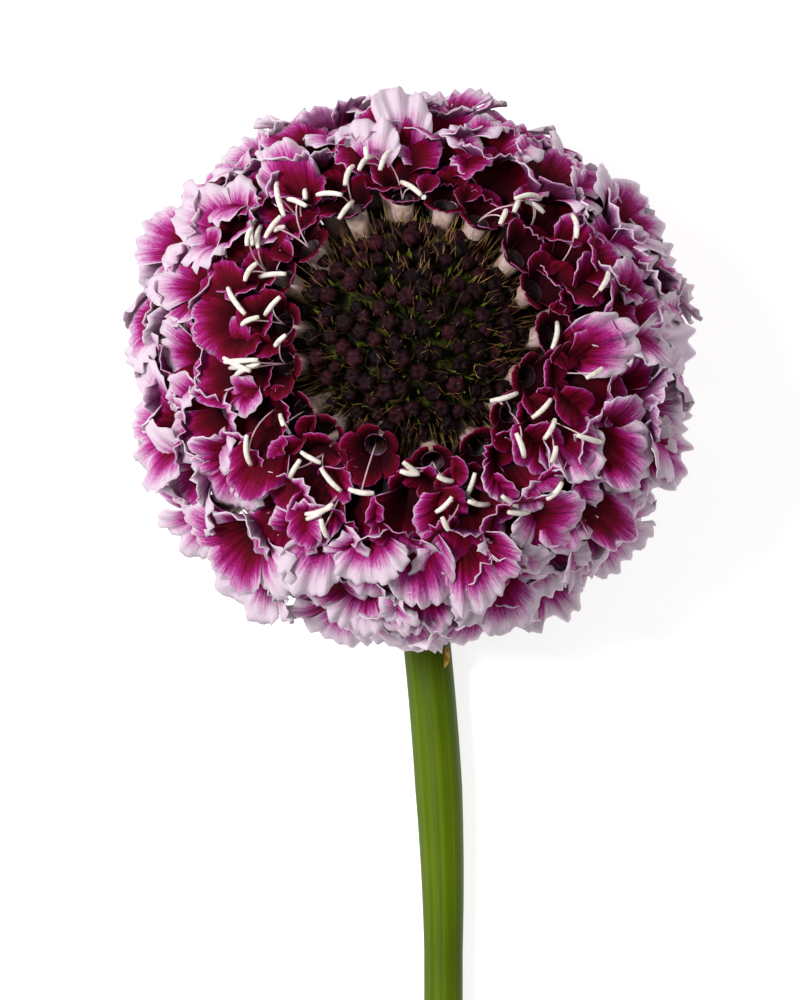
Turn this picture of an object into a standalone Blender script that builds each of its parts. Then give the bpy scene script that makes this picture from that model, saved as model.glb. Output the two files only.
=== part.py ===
"""A cut scabiosa (pincushion flower) lying on a table with its face up.

The stem runs towards -Y on the table (z = 0) and turns up into the back of the head.
The head is a pompon of trumpet florets round a cushion of closed buds, on one receptacle.
The origin is on the table, at the middle of the flower's footprint. Metres, +Z up.
"""

import math

import bmesh
import bpy
from mathutils import Matrix, Vector

# The head: a ball of florets 62 mm across, its face leaning towards +Y
HEAD_RADIUS = 0.0312
HEAD_CENTRE = Vector((0.0, 0.0674, 0.0222))
HEAD_LEAN = math.radians(13)
RECEPTACLE_RADIUS = 0.0085
RECEPTACLE_FOOT = 0.0075
SEAT_GAP = 0.0003

# The florets' rings, from the buds down: name, angle from the face's pole, count, first azimuth, limb radius, drop
FLORET_RINGS = (
    ("inner", math.radians(44), 10, math.radians(8), 0.0043, 0.0072),
    ("upper", math.radians(63), 11, math.radians(20), 0.0055, 0.0026),
    ("middle", math.radians(85), 12, math.radians(4), 0.0058, 0.0),
    ("lower", math.radians(109), 10, math.radians(16), 0.0057, 0.0002),
    ("basal", math.radians(132), 6, math.radians(30), 0.0050, 0.0012),
)
TUBE_RADIUS = 0.0011
THROAT_DISTANCE = 0.0185
THROAT_RADIUS = 0.0014
PETAL_THICKNESS = 0.0005
LOBES = 5
LOBE_WAVE = 0.10
REST_TRIES = 4

# The closed buds on the crown of the receptacle
BUD_RINGS = ((0.0, 1), (math.radians(12.5), 6), (math.radians(25), 12))
BUD_RADIUS = 0.0021
BUD_DISTANCE = 0.0165
BUD_CORE_HALF_ANGLE = math.radians(22)

# The green bracts under the head
BRACT_COUNT = 8
BRACT_ANGLE = math.radians(152)
BRACT_LENGTH = 0.0125
BRACT_WIDTH = 0.0030
BRACT_THICKNESS = 0.0005

# The stem: its bend under the head, its run along the table and its slanting cut
STEM_RADIUS_AT_HEAD = 0.00262
STEM_RADIUS = 0.00215
STEM_EVEN_FOR = 0.052
STEM_NARROWS_OVER = 0.018
STEM_BEND_RADIUS = 0.0116
STEM_RUN = 0.1530
STEM_SWAY = 0.0037
STEM_SWAY_OVER = 0.050
STEM_CUT_SLANT = math.radians(48)
STEM_SIDES = 4
TABLE_CLEARANCE = 0.00002

# Colour, roughness and metallic value of each material
FINISHES = {
    "petal": ((0.42, 0.03, 0.20), 0.55, 0.0),
    "bud": ((0.05, 0.015, 0.03), 0.60, 0.0),
    "receptacle": ((0.24, 0.30, 0.05), 0.70, 0.0),
    "bract": ((0.12, 0.20, 0.03), 0.60, 0.0),
    "stem": ((0.16, 0.25, 0.02), 0.45, 0.0),
}


def clear_scene():
    for thing in list(bpy.data.objects):
        bpy.data.objects.remove(thing)


def new_collection(name):
    made = bpy.data.collections.new(name)
    bpy.context.scene.collection.children.link(made)
    return made


def new_material(name):
    colour, roughness, metallic = FINISHES[name]
    made = bpy.data.materials.new(name)
    made.use_nodes = True
    shader = made.node_tree.nodes["Principled BSDF"]
    shader.inputs["Base Color"].default_value = (*colour, 1.0)
    shader.inputs["Roughness"].default_value = roughness
    shader.inputs["Metallic"].default_value = metallic
    return made


def add_object(name, data, collection, material, parent=None, matrix=None):
    made = bpy.data.objects.new(name, data)
    collection.objects.link(made)
    made.data.materials.append(material)
    made.parent = parent
    made.matrix_local = matrix or Matrix.Identity(4)
    return made


def mesh_from(bm, name):
    bmesh.ops.recalc_face_normals(bm, faces=bm.faces[:])
    data = bpy.data.meshes.new(name)
    bm.to_mesh(data)
    bm.free()
    data.shade_smooth()
    data.set_sharp_from_angle(angle=math.radians(40))
    return data


def turned(profile, steps):
    """A bmesh of the profile, given as (radius, height) pairs, spun once round Z."""
    bm = bmesh.new()
    row = [bm.verts.new((radius, 0.0, height)) for radius, height in profile]
    edges = [bm.edges.new(pair) for pair in zip(row, row[1:])]
    bmesh.ops.spin(
        bm,
        geom=row + edges,
        cent=(0, 0, 0),
        axis=(0, 0, 1),
        angle=math.tau,
        steps=steps,
        use_merge=True,
    )
    bmesh.ops.remove_doubles(bm, verts=bm.verts[:], dist=0.00001)
    return bm


def pointing(polar, azimuth):
    """Turns local +Z to that direction from the head's pole, and local +Y down and away from the pole."""
    return Matrix.Rotation(azimuth, 4, "Z") @ Matrix.Rotation(polar, 4, "X") @ Matrix.Rotation(math.pi, 4, "Z")


def lowest_point(thing):
    graph = bpy.context.evaluated_depsgraph_get()
    shown = thing.evaluated_get(graph)
    place = thing.parent.matrix_world @ thing.matrix_local
    return min((place @ vert.co).z for vert in shown.data.vertices)


def floret_mesh(reach, limb_radius):
    """A trumpet: a closed foot, a narrow tube, a throat and a limb of five lobes. Its foot is at the origin."""
    foot = RECEPTACLE_RADIUS + SEAT_GAP + PETAL_THICKNESS / 2
    flare = reach - THROAT_DISTANCE
    profile = (
        (0.0, foot),
        (TUBE_RADIUS, foot + TUBE_RADIUS * 0.6),
        (THROAT_RADIUS, THROAT_DISTANCE),
        (limb_radius * 0.55, THROAT_DISTANCE + flare * 0.62),
        (limb_radius, reach),
    )
    bm = turned(profile, 2 * LOBES)
    for vert in bm.verts:
        radius = math.hypot(vert.co.x, vert.co.y)
        if radius > limb_radius * 0.9:
            share = 1 + LOBE_WAVE * math.cos(LOBES * math.atan2(vert.co.y, vert.co.x))
            vert.co.x *= share
            vert.co.y *= share
    return mesh_from(bm, "floret")


def add_floret(name, polar, azimuth, limb_radius, drop, collection, material, head):
    """One floret. A limb that would go through the table is drawn back until its rim rests on it."""
    turn = pointing(polar, azimuth)
    direction = head.matrix_world.to_3x3() @ (turn.to_3x3() @ Vector((0, 0, 1)))
    reach = math.sqrt(HEAD_RADIUS**2 - limb_radius**2) - drop
    made = add_object(name, floret_mesh(reach, limb_radius), collection, material, head, turn)
    wall = made.modifiers.new("Wall", "SOLIDIFY")
    wall.thickness = PETAL_THICKNESS
    wall.offset = 0.0
    below = TABLE_CLEARANCE - lowest_point(made)
    if below > 0:
        for _ in range(REST_TRIES):
            reach += (lowest_point(made) - TABLE_CLEARANCE) / -direction.z
            made.data = floret_mesh(reach, limb_radius)
            made.data.materials.append(material)
    return made


def add_florets(collection, material, head):
    for ring, polar, count, first, limb_radius, drop in FLORET_RINGS:
        for number in range(count):
            azimuth = first + math.tau * number / count
            name = f"{ring}_floret_{number + 1:02d}"
            add_floret(name, polar, azimuth, limb_radius, drop, collection, material, head)


def receptacle_mesh():
    """A ball with a flat foot, where the stem meets it."""
    bm = bmesh.new()
    bmesh.ops.create_uvsphere(bm, u_segments=24, v_segments=14, radius=RECEPTACLE_RADIUS)
    foot = Vector((0, 0, -RECEPTACLE_FOOT))
    cut = bmesh.ops.bisect_plane(
        bm,
        geom=bm.verts[:] + bm.edges[:] + bm.faces[:],
        plane_co=foot,
        plane_no=(0, 0, -1),
        clear_outer=True,
    )
    rim = [piece for piece in cut["geom_cut"] if isinstance(piece, bmesh.types.BMEdge)]
    bmesh.ops.contextual_create(bm, geom=rim)
    return mesh_from(bm, "receptacle")


def bud_core_mesh():
    """The packed stalks of the buds: a cone that widens from the receptacle's crown."""
    base = RECEPTACLE_RADIUS + SEAT_GAP
    half = math.tan(BUD_CORE_HALF_ANGLE)
    low = base + 0.0001
    profile = (
        (0.0, low),
        (low * half * 0.55, low),
        (BUD_DISTANCE * half, BUD_DISTANCE * 0.86),
        (BUD_DISTANCE * half * 0.8, BUD_DISTANCE * 0.98),
        (0.0, BUD_DISTANCE),
    )
    return mesh_from(turned(profile, 16), "bud_core")


def add_bud_cluster(collection, cutters, material, head):
    """The closed buds, grown into one cushion with their stalks."""
    cluster = add_object("bud_cluster", bud_core_mesh(), collection, material, head)
    ball = bmesh.new()
    bmesh.ops.create_uvsphere(ball, u_segments=10, v_segments=7, radius=BUD_RADIUS)
    ball_mesh = mesh_from(ball, "bud")
    for ring, (polar, count) in enumerate(BUD_RINGS):
        for number in range(count):
            azimuth = math.tau * (number + 0.37 * ring) / count
            turn = pointing(polar, azimuth)
            place = turn @ Matrix.Translation((0, 0, BUD_DISTANCE))
            bud = add_object(f"bud_{ring}_{number}", ball_mesh.copy(), cutters, material, head, place)
            bud.hide_render = True
            bud.display_type = "WIRE"
    join = cluster.modifiers.new("Buds", "BOOLEAN")
    join.operation = "UNION"
    join.operand_type = "COLLECTION"
    join.collection = cutters
    return cluster


def bract_curve():
    """A lance-shaped leaf, flat in XZ when it is placed, with its base at the origin."""
    curve = bpy.data.curves.new("bract", "CURVE")
    curve.dimensions = "2D"
    curve.fill_mode = "BOTH"
    curve.extrude = BRACT_THICKNESS / 2
    curve.resolution_u = 5
    spline = curve.splines.new("BEZIER")
    half = BRACT_WIDTH / 2
    outline = (
        (-half * 0.45, 0.0),
        (-half, BRACT_LENGTH * 0.38),
        (0.0, BRACT_LENGTH),
        (half, BRACT_LENGTH * 0.38),
        (half * 0.45, 0.0),
    )
    spline.bezier_points.add(len(outline) - 1)
    spline.use_cyclic_u = True
    for point, (across, along) in zip(spline.bezier_points, outline):
        point.co = (across, along, 0.0)
        sharp = along in (0.0, BRACT_LENGTH)
        point.handle_left_type = point.handle_right_type = "VECTOR" if sharp else "AUTO"
    return curve


def add_bracts(collection, material, head):
    for number in range(BRACT_COUNT):
        azimuth = math.tau * (number + 0.5) / BRACT_COUNT
        turn = pointing(BRACT_ANGLE, azimuth)
        out = RECEPTACLE_RADIUS + SEAT_GAP + 0.0001
        flat = Matrix.Rotation(math.pi / 2, 4, "X")
        place = turn @ Matrix.Translation((0, 0, out)) @ flat
        add_object(f"bract_{number + 1}", bract_curve(), collection, material, head, place)


def stem_radius(along):
    """The radius that far from the head: even at first, then narrowing to the rest of the stem."""
    share = min(max((along - STEM_EVEN_FOR) / STEM_NARROWS_OVER, 0.0), 1.0)
    return STEM_RADIUS_AT_HEAD + (STEM_RADIUS - STEM_RADIUS_AT_HEAD) * share


def stem_path():
    """The centreline as (point, radius): out of the head's back, round a quarter bend, then along the table."""
    back = Vector((0, -math.sin(HEAD_LEAN), -math.cos(HEAD_LEAN)))
    start = HEAD_CENTRE + back * (RECEPTACLE_FOOT + SEAT_GAP)
    turn = math.pi / 2 - HEAD_LEAN
    drop = STEM_BEND_RADIUS * (1 - math.sin(HEAD_LEAN))
    lead = (start.z - stem_radius(STEM_BEND_RADIUS * turn) - drop) / math.cos(HEAD_LEAN)
    bend_start = start + back * lead
    across = Vector((0, -math.cos(HEAD_LEAN), math.sin(HEAD_LEAN)))
    path = [(start, stem_radius(0.0))]
    bend_steps = 7
    for step in range(bend_steps + 1):
        angle = turn * step / bend_steps
        point = bend_start + STEM_BEND_RADIUS * (back * math.sin(angle) + across * (1 - math.cos(angle)))
        path.append((point, stem_radius(lead + STEM_BEND_RADIUS * angle)))
    bend_end = path[-1][0]
    along_bend = lead + STEM_BEND_RADIUS * turn
    run_steps = 24
    for step in range(1, run_steps + 1):
        run = STEM_RUN * step / run_steps
        radius = stem_radius(along_bend + run)
        sway = STEM_SWAY * math.sin(min(run / STEM_SWAY_OVER, 1.0) * math.pi / 2)
        height = radius + TABLE_CLEARANCE
        path.append((Vector((bend_end.x + sway, bend_end.y - run, height)), radius))
    return path


def add_stem(collection, material):
    curve = bpy.data.curves.new("stem", "CURVE")
    curve.dimensions = "3D"
    curve.bevel_depth = 1.0
    curve.bevel_resolution = STEM_SIDES
    curve.use_fill_caps = True
    spline = curve.splines.new("POLY")
    path = stem_path()
    spline.points.add(len(path) - 1)
    for point, (place, radius) in zip(spline.points, path):
        point.co = (*place, 1.0)
        point.radius = radius
    guide = add_object("stem_curve", curve, collection, material)
    graph = bpy.context.evaluated_depsgraph_get()
    data = bpy.data.meshes.new_from_object(guide.evaluated_get(graph))
    bpy.data.objects.remove(guide)
    cut_stem_end(data, path[-1][0])
    stem = bpy.data.objects.new("stem", data)
    collection.objects.link(stem)
    return stem


def cut_stem_end(data, end):
    """Trims the far end with one slanting cut, as scissors leave it."""
    bm = bmesh.new()
    bm.from_mesh(data)
    bmesh.ops.remove_doubles(bm, verts=bm.verts[:], dist=0.00001)
    slant = Vector((0, -math.cos(STEM_CUT_SLANT), math.sin(STEM_CUT_SLANT)))
    cut = bmesh.ops.bisect_plane(
        bm,
        geom=bm.verts[:] + bm.edges[:] + bm.faces[:],
        plane_co=end + Vector((0, STEM_RADIUS * 1.4, 0)),
        plane_no=slant,
        clear_outer=True,
    )
    rim = [piece for piece in cut["geom_cut"] if isinstance(piece, bmesh.types.BMEdge)]
    bmesh.ops.contextual_create(bm, geom=rim)
    bmesh.ops.recalc_face_normals(bm, faces=bm.faces[:])
    bm.to_mesh(data)
    bm.free()
    data.shade_smooth()
    data.set_sharp_from_angle(angle=math.radians(40))


def main():
    clear_scene()
    flower = new_collection("scabiosa_flower")
    cutters = new_collection("bud_balls")
    cutters.hide_render = True
    head = bpy.data.objects.new("head", None)
    flower.objects.link(head)
    head.matrix_world = Matrix.Translation(HEAD_CENTRE) @ Matrix.Rotation(-HEAD_LEAN, 4, "X")
    bpy.context.view_layer.update()
    finish = {name: new_material(name) for name in FINISHES}
    add_stem(flower, finish["stem"])
    add_object("receptacle", receptacle_mesh(), flower, finish["receptacle"], head)
    add_bracts(flower, finish["bract"], head)
    add_florets(flower, finish["petal"], head)
    add_bud_cluster(flower, cutters, finish["bud"], head)


main()
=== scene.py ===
"""A cut scabiosa flower lying face up on a pale table, seen from straight above."""

import math
import random

import bpy
import numpy as np
from mathutils import Matrix, Vector


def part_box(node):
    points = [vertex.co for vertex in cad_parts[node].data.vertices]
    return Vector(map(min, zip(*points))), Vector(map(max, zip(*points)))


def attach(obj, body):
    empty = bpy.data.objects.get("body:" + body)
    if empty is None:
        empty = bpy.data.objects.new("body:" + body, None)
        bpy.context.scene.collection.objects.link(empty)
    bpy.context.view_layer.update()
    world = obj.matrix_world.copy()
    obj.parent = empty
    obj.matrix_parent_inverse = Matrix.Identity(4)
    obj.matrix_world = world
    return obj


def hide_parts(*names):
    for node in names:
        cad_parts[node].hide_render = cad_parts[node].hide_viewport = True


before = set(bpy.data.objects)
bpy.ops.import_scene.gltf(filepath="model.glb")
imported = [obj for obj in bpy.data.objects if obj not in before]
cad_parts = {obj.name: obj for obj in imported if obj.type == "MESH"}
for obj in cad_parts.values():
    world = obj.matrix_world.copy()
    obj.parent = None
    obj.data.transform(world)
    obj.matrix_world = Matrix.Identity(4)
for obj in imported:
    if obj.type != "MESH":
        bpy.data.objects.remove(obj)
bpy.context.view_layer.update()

# The head's place, lean and scale, the same as the CAD model's
LEAN = math.radians(13)
HEAD_CENTRE = Vector((0.0, 0.0674, 0.0222))
HEAD_TURN = Matrix.Rotation(-LEAN, 4, "X")
MM = 0.001

# The camera: the photograph's frame, and the scale at the head's height
PHOTO_WIDTH = 800
PHOTO_HEIGHT = 1000
HEAD_PIXEL = (410, 362)
PIXELS_PER_MM = 9.27
CAMERA_REACH = 0.9
SENSOR_WIDTH = 36
CAMERA_LENS = PIXELS_PER_MM * SENSOR_WIDTH * CAMERA_REACH / PHOTO_HEIGHT / MM
CAMERA_X = HEAD_CENTRE.x + (PHOTO_WIDTH / 2 - HEAD_PIXEL[0]) / PIXELS_PER_MM * MM
CAMERA_Y = HEAD_CENTRE.y - (PHOTO_HEIGHT / 2 - HEAD_PIXEL[1]) / PIXELS_PER_MM * MM
EYE = Vector((CAMERA_X, CAMERA_Y, CAMERA_REACH + HEAD_CENTRE.z))

# From here on lengths are in millimetres where nothing else is said
# The florets' rings: name, angle from the pole, count, first azimuth, throat's distance from the centre,
# length of the largest lobe, pale share, ruffle, and the angle from the pole that its outer lobes bend to
RINGS = (
    ("inner", 44, 18, 6, 20.0, 4.6, 0.02, 0.2, 100),
    ("crown", 53, 19, 0, 20.9, 6.8, 0.24, 0.55, 118),
    ("upper", 65, 22, 10, 23.2, 7.6, 0.50, 0.85, 132),
    ("middle", 79, 24, 4, 25.0, 8.1, 0.62, 1.0, 146),
    ("lower", 94, 22, 0, 25.8, 8.2, 0.70, 1.0, 160),
    ("skirt", 110, 17, 12, 25.2, 7.8, 0.74, 1.0, 178),
    ("basal", 129, 6, 30, 22.4, 6.8, 0.72, 0.9, 190),
)
# How far the petals reach from the centre at these angles from the pole
BLOOM_ANGLES = (0, 40, 46, 54, 64, 76, 90, 108, 125)
BLOOM_REACH = (19.0, 19.5, 22.0, 25.4, 28.4, 30.4, 31.2, 31.0, 29.0)
BLOOM_TRIES = 16
THROAT_RADIUS = 1.25
TUBE_FOOT = 8.9
TUBE_FOOT_RADIUS = 0.55
WOBBLE = math.radians(9)
PETAL_THICKNESS = 0.10
MIDDLE_STEPS = 20
CLAW_SHARE = 0.2
CLAW_HALF_WIDTH = 0.7
FAN_TURN = math.radians(116)
FAN_MIDDLE = 0.55
SCALLOP_MEAN = 0.3
SCALLOPS_PER_MM = 1.3
FOOT_CLEAR = 0.3
FOOT_DEPTH = 3.4
FAN_GRID = (64, 16)
# What lies below this height is pressed flat, with these gaps to the table and the stem
PRESSED_BELOW = 1.3
PRESSED_GAP = 0.12
STEM_GAP = 0.35
# Only what lies between these two x, in metres, can meet the stem
NEAR_STEM = (-0.006, 0.010)
# A floret's five lobes: three large ones, then two small ones on the side of the buds. The tube is part 5
LOBE_AZIMUTHS = (0, 68, -68, 136, -136)
LOBE_SIZES = (1.0, 0.86, 0.86, 0.55, 0.55)
SHORT_LOBE = 0.36
LARGE_LOBES = 3
TUBE_PART = 5
BIG_GRID = (28, 9)
SMALL_GRID = (12, 5)
# A petal's material slots
FRONT, BACK, TUBE, INSIDE, EDGE = range(5)

CUP_LENGTH = 8.4
CUP_FOOT = 8.95
BUD_COUNT = 118
BUDS_REACH = math.radians(41.5)
BUD_HEIGHT = 18.0
GOLDEN_ANGLE = 2.39996
CUSHION_RADIUS = 16.4
CUSHION_EDGE = math.radians(40)
BRISTLES_PER_BUD = 5
BRISTLE_FOOT = 16.9
RIM_BRISTLES = 230
BRACT_TIPS = 84
BRACT_TIP_FOOT = 16.6
ANTHER_STEPS = 9
ANTHER_RADIUS = 0.30
ANTHER_LIFT = 0.55
FILAMENT_STEPS = 8
FILAMENT_RADIUS = 0.085

STEM_RADIUS_AT_HEAD = 2.62
STEM_RADIUS = 2.15
STEM_EVEN_FOR = 52
STEM_NARROWS_OVER = 18
STEM_BEND_RADIUS = 11.6
STEM_RUN = 153
STEM_SWAY = 3.7
STEM_SWAY_OVER = 50
STEM_CUT_SLANT = math.radians(48)
STEM_START = 7.3
BEND_STEPS = 24
RUN_STEPS = 120
STEM_SIDES = 40
STEM_LIFT = 0.02
CUT_RINGS = 30
CUT_SETBACK = 1.4
LEAF_LENGTH = 12.0
LEAF_FOOT = 8.9
LEAF_POLAR = 152
LEAF_LEAN = math.radians(-3)

# Anthers, read off the photograph: both ends, in pixels
ANTHERS = (
    (277, 183, 284, 216), (288, 199, 306, 206), (305, 190, 306, 199), (317, 195, 342, 195),
    (345, 185, 353, 166), (359, 170, 372, 157), (366, 148, 367, 159), (380, 170, 391, 151),
    (339, 219, 353, 201), (401, 182, 421, 195), (247, 246, 252, 228), (253, 245, 256, 219),
    (258, 248, 261, 226), (265, 238, 281, 216), (274, 231, 285, 227), (245, 281, 257, 263),
    (260, 277, 286, 274), (228, 288, 245, 314), (265, 315, 280, 297), (242, 325, 259, 317),
    (275, 346, 286, 335), (225, 362, 258, 360), (230, 368, 258, 366), (236, 375, 260, 363),
    (224, 358, 250, 371), (515, 199, 540, 199), (526, 201, 544, 213), (514, 212, 519, 198),
    (500, 224, 506, 210), (572, 215, 576, 238), (600, 290, 608, 272), (552, 349, 557, 322),
    (586, 378, 602, 368), (247, 435, 251, 465), (280, 414, 290, 434), (301, 452, 321, 463),
    (290, 477, 300, 460), (321, 468, 341, 491), (349, 489, 374, 493), (307, 519, 333, 504),
    (306, 514, 331, 507), (321, 519, 327, 537), (403, 462, 418, 473), (400, 471, 419, 474),
    (490, 401, 517, 393), (532, 418, 551, 399), (544, 439, 555, 419), (516, 433, 524, 457),
    (551, 462, 556, 446), (577, 435, 601, 442), (465, 498, 475, 473), (437, 476, 453, 481),
    (436, 512, 452, 497), (468, 501, 490, 504), (547, 499, 562, 482), (502, 496, 517, 506),
    (508, 512, 529, 512), (442, 517, 448, 530),
)

# The withered tip on the stem: pixel and height in millimetres, with its radius there
WITHERED_TIP = ((447, 648, 5.9), (447, 656, 5.1), (446, 663, 4.85), (444, 669, 4.75))
WITHERED_RADII = (0.15, 0.34, 0.26, 0.06)

# Broad petals, given one by one: foot pixel, tip pixel, width in pixels, and a rough guess of the pale share
BROAD_PETALS = (
    (369, 166, 367, 117, 66, 0.85), (298, 196, 272, 145, 60, 0.45), (405, 137, 397, 88, 64, 0.85),
    (573, 352, 637, 334, 66, 0.55), (655, 347, 697, 340, 66, 0.95), (550, 402, 594, 481, 64, 0.50),
    (600, 430, 641, 479, 60, 0.45), (645, 440, 684, 469, 58, 0.60), (595, 507, 628, 541, 48, 0.35),
    (414, 535, 428, 613, 68, 0.50), (470, 562, 483, 613, 62, 0.65), (267, 438, 237, 496, 62, 0.25),
    (327, 490, 300, 547, 54, 0.25), (366, 543, 376, 583, 78, 0.70), (315, 553, 301, 590, 64, 0.80),
)


def activate(thing):
    bpy.ops.object.select_all(action="DESELECT")
    thing.select_set(True)
    bpy.context.view_layer.objects.active = thing


def apply_all(thing):
    activate(thing)
    for modifier in list(thing.modifiers):
        bpy.ops.object.modifier_apply(modifier=modifier.name)


def finish_piece(thing, name, material=None, nodes=()):
    thing.name = name
    thing.data.name = name
    if material:
        thing.data.materials.append(material)
    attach(thing, "root")
    if nodes:
        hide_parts(*nodes)


def coords(mesh):
    out = np.empty(len(mesh.vertices) * 3)
    mesh.vertices.foreach_get("co", out)
    return out.reshape(-1, 3)


def set_coords(mesh, places):
    mesh.vertices.foreach_set("co", np.ascontiguousarray(places, dtype=np.float32).ravel())
    mesh.update()


def grid_shares(mesh):
    """A flat grid's points as -1 to 1 across and 0 to 1 along."""
    flat = coords(mesh)
    return flat[:, 0] * 2, flat[:, 1] + 0.5


def numbers(items, name):
    """That whole number of every item."""
    out = np.empty(len(items), dtype=np.int32)
    items.foreach_get(name, out)
    return out


def add_uv(mesh, name, values):
    layer = mesh.uv_layers.new(name=name)
    layer.data.foreach_set("uv", np.asarray(values, dtype=np.float32).ravel())


def flat_grid(columns, rows):
    bpy.ops.mesh.primitive_grid_add(x_subdivisions=columns, y_subdivisions=rows, size=1)
    return bpy.context.object


def turned(angle, axis):
    return Matrix.Rotation(angle, 4, axis)


def lifted(height):
    return Matrix.Translation((0, 0, height))


def add_to_scene(name, data):
    thing = bpy.data.objects.new(name, data)
    bpy.context.scene.collection.objects.link(thing)
    return thing


def head_to_world(places):
    """Millimetres from the head's centre, with the face's pole at +Z, to metres on the table."""
    turn = np.array(HEAD_TURN.to_3x3())
    return places @ turn.T * MM + np.array(HEAD_CENTRE)


def world_to_head(point):
    return HEAD_TURN.to_3x3().transposed() @ (Vector(point) - HEAD_CENTRE) / MM


def pixel_ray(x, y):
    scale = SENSOR_WIDTH / PHOTO_HEIGHT / CAMERA_LENS
    return Vector(((x - PHOTO_WIDTH / 2) * scale, -(y - PHOTO_HEIGHT / 2) * scale, -1.0))


def on_ball(x, y, radius):
    """The point of a ball round the head's centre that shows at that pixel, in the head's millimetres."""
    ray = pixel_ray(x, y).normalized()
    to_centre = HEAD_CENTRE - EYE
    along = to_centre.dot(ray)
    miss = to_centre.length_squared - along**2
    inside = max((radius * MM) ** 2 - miss, 0.0)
    return world_to_head(EYE + ray * (along - math.sqrt(inside)))


def seen_at(x, y):
    """How far from the head's centre the surface lies that shows at that pixel, in millimetres."""
    graph = bpy.context.evaluated_depsgraph_get()
    hit, place, _, _, _, _ = bpy.context.scene.ray_cast(graph, EYE, pixel_ray(x, y).normalized())
    return world_to_head(place).length if hit else BLOOM_REACH[-1]


# Materials


class Shader:
    """One material's node tree, with short calls for its nodes."""

    def __init__(self, name):
        self.material = bpy.data.materials.new(name)
        self.material.use_nodes = True
        self.tree = self.material.node_tree
        self.main = self.tree.nodes["Principled BSDF"]

    def node(self, kind, **settings):
        made = self.tree.nodes.new(kind)
        for key, value in settings.items():
            setattr(made, key, value)
        return made

    def link(self, source, target):
        self.tree.links.new(source, target)

    def put(self, socket, value):
        if isinstance(value, bpy.types.NodeSocket):
            self.link(value, socket)
        else:
            socket.default_value = value

    def maths(self, operation, first, second=0.0, third=0.0):
        made = self.node("ShaderNodeMath", operation=operation)
        self.put(made.inputs[0], first)
        self.put(made.inputs[1], second)
        self.put(made.inputs[2], third)
        return made.outputs[0]

    def times(self, first, second):
        return self.maths("MULTIPLY", first, second)

    def noise(self, vector, scale, detail=2.0, roughness=0.5):
        made = self.node("ShaderNodeTexNoise")
        self.link(vector, made.inputs["Vector"])
        made.inputs["Scale"].default_value = scale
        made.inputs["Detail"].default_value = detail
        made.inputs["Roughness"].default_value = roughness
        return made.outputs["Fac"]

    def combine(self, x, y, z=0.0):
        made = self.node("ShaderNodeCombineXYZ")
        self.put(made.inputs[0], x)
        self.put(made.inputs[1], y)
        self.put(made.inputs[2], z)
        return made.outputs[0]

    def split(self, vector):
        made = self.node("ShaderNodeSeparateXYZ")
        self.link(vector, made.inputs[0])
        return made.outputs

    def uv(self, name):
        return self.node("ShaderNodeUVMap", uv_map=name).outputs[0]

    def place(self):
        return self.node("ShaderNodeTexCoord").outputs["Object"]

    def ramp(self, value, stops):
        made = self.node("ShaderNodeValToRGB")
        points = made.color_ramp.elements
        while len(points) < len(stops):
            points.new(0.5)
        for point, (place, colour) in zip(points, stops):
            point.position = place
            point.color = (*linear(colour), 1.0)
        self.link(value, made.inputs[0])
        return made.outputs[0]

    def mix(self, factor, first, second):
        """A blend of two colours, each an output or a colour code."""
        made = self.node("ShaderNodeMix", data_type="RGBA")
        self.put(made.inputs[0], factor)
        for socket, colour in zip(made.inputs[6:8], (first, second)):
            self.put(socket, (*linear(colour), 1.0) if isinstance(colour, str) else colour)
        return made.outputs[2]

    def span(self, value, low, high, to_low=0.0, to_high=1.0):
        made = self.node("ShaderNodeMapRange")
        self.put(made.inputs[0], value)
        for socket, number in zip(made.inputs[1:5], (low, high, to_low, to_high)):
            socket.default_value = number
        return made.outputs[0]

    def bump(self, height, strength, distance):
        made = self.node("ShaderNodeBump")
        made.inputs["Strength"].default_value = strength
        made.inputs["Distance"].default_value = distance
        self.link(height, made.inputs["Height"])
        self.link(made.outputs[0], self.main.inputs["Normal"])

    def finish(self, colour, roughness, specular):
        self.put(self.main.inputs["Base Color"], colour)
        self.put(self.main.inputs["Roughness"], roughness)
        self.main.inputs["Specular IOR Level"].default_value = specular
        return self.material


def linear(code):
    """A colour code such as 5c0a2e as linear red, green and blue."""
    parts = [int(code[i : i + 2], 16) / 255 for i in (0, 2, 4)]
    return [part / 12.92 if part <= 0.04045 else ((part + 0.055) / 1.055) ** 2.4 for part in parts]


PALE_MIDDLE = 0.54
FRONT_STOPS = (
    (0.00, "280008"), (0.28, "4a0010"), (0.46, "66001e"), (0.58, "880a50"),
    (0.68, "9e2478"), (0.78, "ba6ca4"), (0.88, "caa2be"), (1.00, "d6c3d1"),
)
EDGE_STOPS = (
    (0.00, "4c0620"), (0.35, "80144e"), (0.60, "b470a4"), (0.85, "d2b6ca"), (1.00, "dfcfdb"),
)
BACK_STOPS = (
    (0.00, "400c22"), (0.35, "6a2450"), (0.62, "985c8c"), (0.82, "c4a0bc"), (1.00, "dccfd8"),
)


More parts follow.
